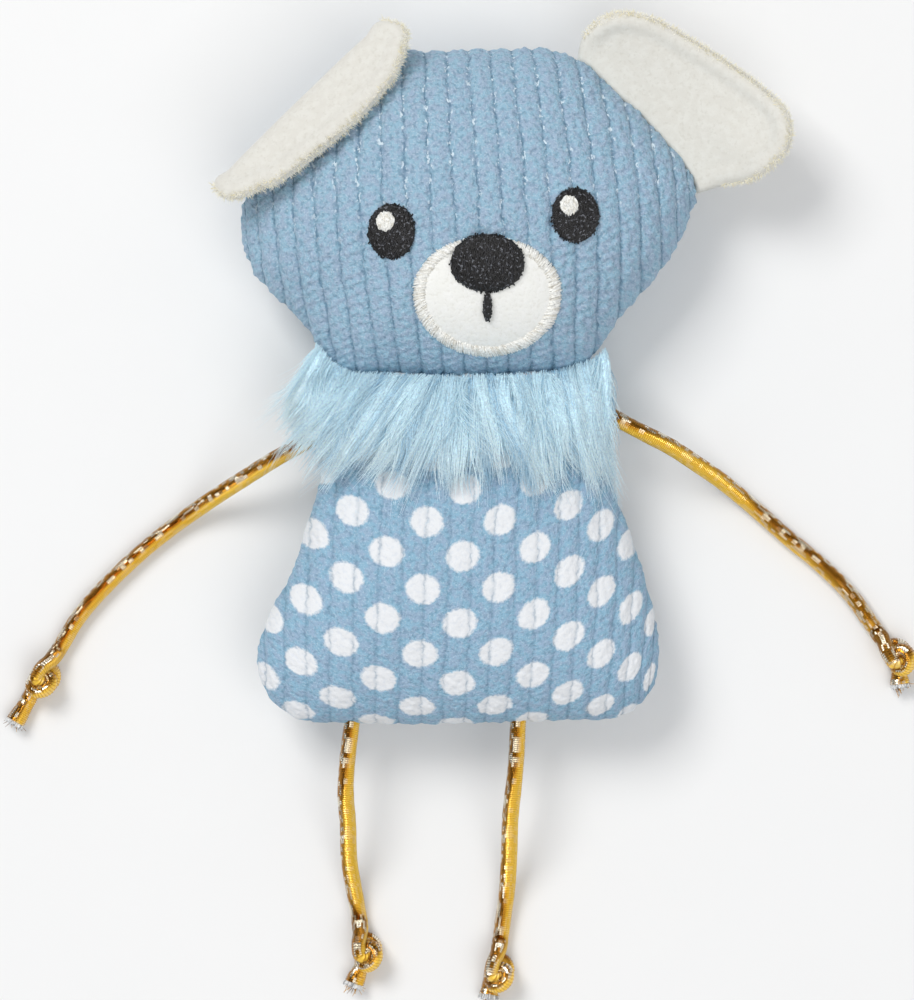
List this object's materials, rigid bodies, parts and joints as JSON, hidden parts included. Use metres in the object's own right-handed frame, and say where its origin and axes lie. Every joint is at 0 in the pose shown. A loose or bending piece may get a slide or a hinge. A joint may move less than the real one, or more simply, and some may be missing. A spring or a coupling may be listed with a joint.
{
  "type": "plush cat toy",
  "caption": "Plush mouse cat toy with a corduroy head and dotted body, felt-like ears, a fur collar and knotted elastic cord limbs.",
  "frame": {"origin": "middle of the footprint of the stuffed head, ears and body, on the surface that the toy lies on with its back", "axes": "+Z from the back to the face, +Y from the legs to the head, +X to the viewer's right when looking at the face"},
  "size_m": [0.1656, 0.1824, 0.0353],
  "materials": {
    "head_corduroy": "matte",
    "dotted_corduroy": "matte",
    "white_plush": "matte",
    "white_thread": "satin",
    "black_thread": "satin",
    "collar_fur": "matte",
    "gold_cord": "gloss",
    "cord_core": "matte",
    "stuffing": "matte"
  },
  "bodies": {
    "torso": {"body_front_panel": "dotted_corduroy", "body_back_panel": "dotted_corduroy", "body_stuffing": "stuffing", "collar_front_fur": "collar_fur", "collar_back_fur": "collar_fur"},
    "head": {"head_front_panel": "head_corduroy", "head_back_panel": "head_corduroy", "head_stuffing": "stuffing", "muzzle_patch": "white_plush", "muzzle_border_stitch": "white_thread", "nose_embroidery": "black_thread", "mouth_stitch": "black_thread", "left_eye_embroidery": "black_thread", "left_eye_highlight": "white_thread", "right_eye_embroidery": "black_thread", "right_eye_highlight": "white_thread"},
    "left_ear": {"left_ear_front_layer": "white_plush", "left_ear_back_layer": "white_plush"},
    "right_ear": {"right_ear_front_layer": "white_plush", "right_ear_back_layer": "white_plush"},
    "left_arm": {"left_arm_cord": "gold_cord", "left_arm_knot": "gold_cord", "left_arm_core_end": "cord_core"},
    "right_arm": {"right_arm_cord": "gold_cord", "right_arm_knot": "gold_cord", "right_arm_core_end": "cord_core"},
    "left_leg": {"left_leg_cord": "gold_cord", "left_leg_knot": "gold_cord", "left_leg_core_end": "cord_core"},
    "right_leg": {"right_leg_cord": "gold_cord", "right_leg_knot": "gold_cord", "right_leg_core_end": "cord_core"}
  },
  "joints": [
    {"name": "neck_nod", "type": "hinge", "parent": "torso", "child": "head", "pos_m": [-0.00744, -0.0053, 0.014], "axis": [1, 0, 0], "range_deg": [0, 20]},
    {"name": "left_ear_fold", "type": "hinge", "parent": "head", "child": "left_ear", "pos_m": [-0.02618, 0.05852, 0.014], "axis": [-0.7116, -0.7026, 0], "range_deg": [0, 90]},
    {"name": "right_ear_fold", "type": "hinge", "parent": "head", "child": "right_ear", "pos_m": [0.01371, 0.05732, 0.014], "axis": [0.6804, -0.7328, 0], "range_deg": [0, 100]},
    {"name": "left_arm_swing", "type": "hinge", "parent": "torso", "child": "left_arm", "pos_m": [-0.03279, -0.01272, 0.014], "axis": [0, 0, 1], "range_deg": [-60, 20]},
    {"name": "right_arm_swing", "type": "hinge", "parent": "torso", "child": "right_arm", "pos_m": [0.01607, -0.00889, 0.014], "axis": [0, 0, 1], "range_deg": [-20, 60]},
    {"name": "left_leg_swing", "type": "hinge", "parent": "torso", "child": "left_leg", "pos_m": [-0.02876, -0.06741, 0.014], "axis": [0, 0, 1], "range_deg": [-40, 8]},
    {"name": "right_leg_swing", "type": "hinge", "parent": "torso", "child": "right_leg", "pos_m": [0.0013, -0.06729, 0.014], "axis": [0, 0, 1], "range_deg": [-8, 40]}
  ]
}
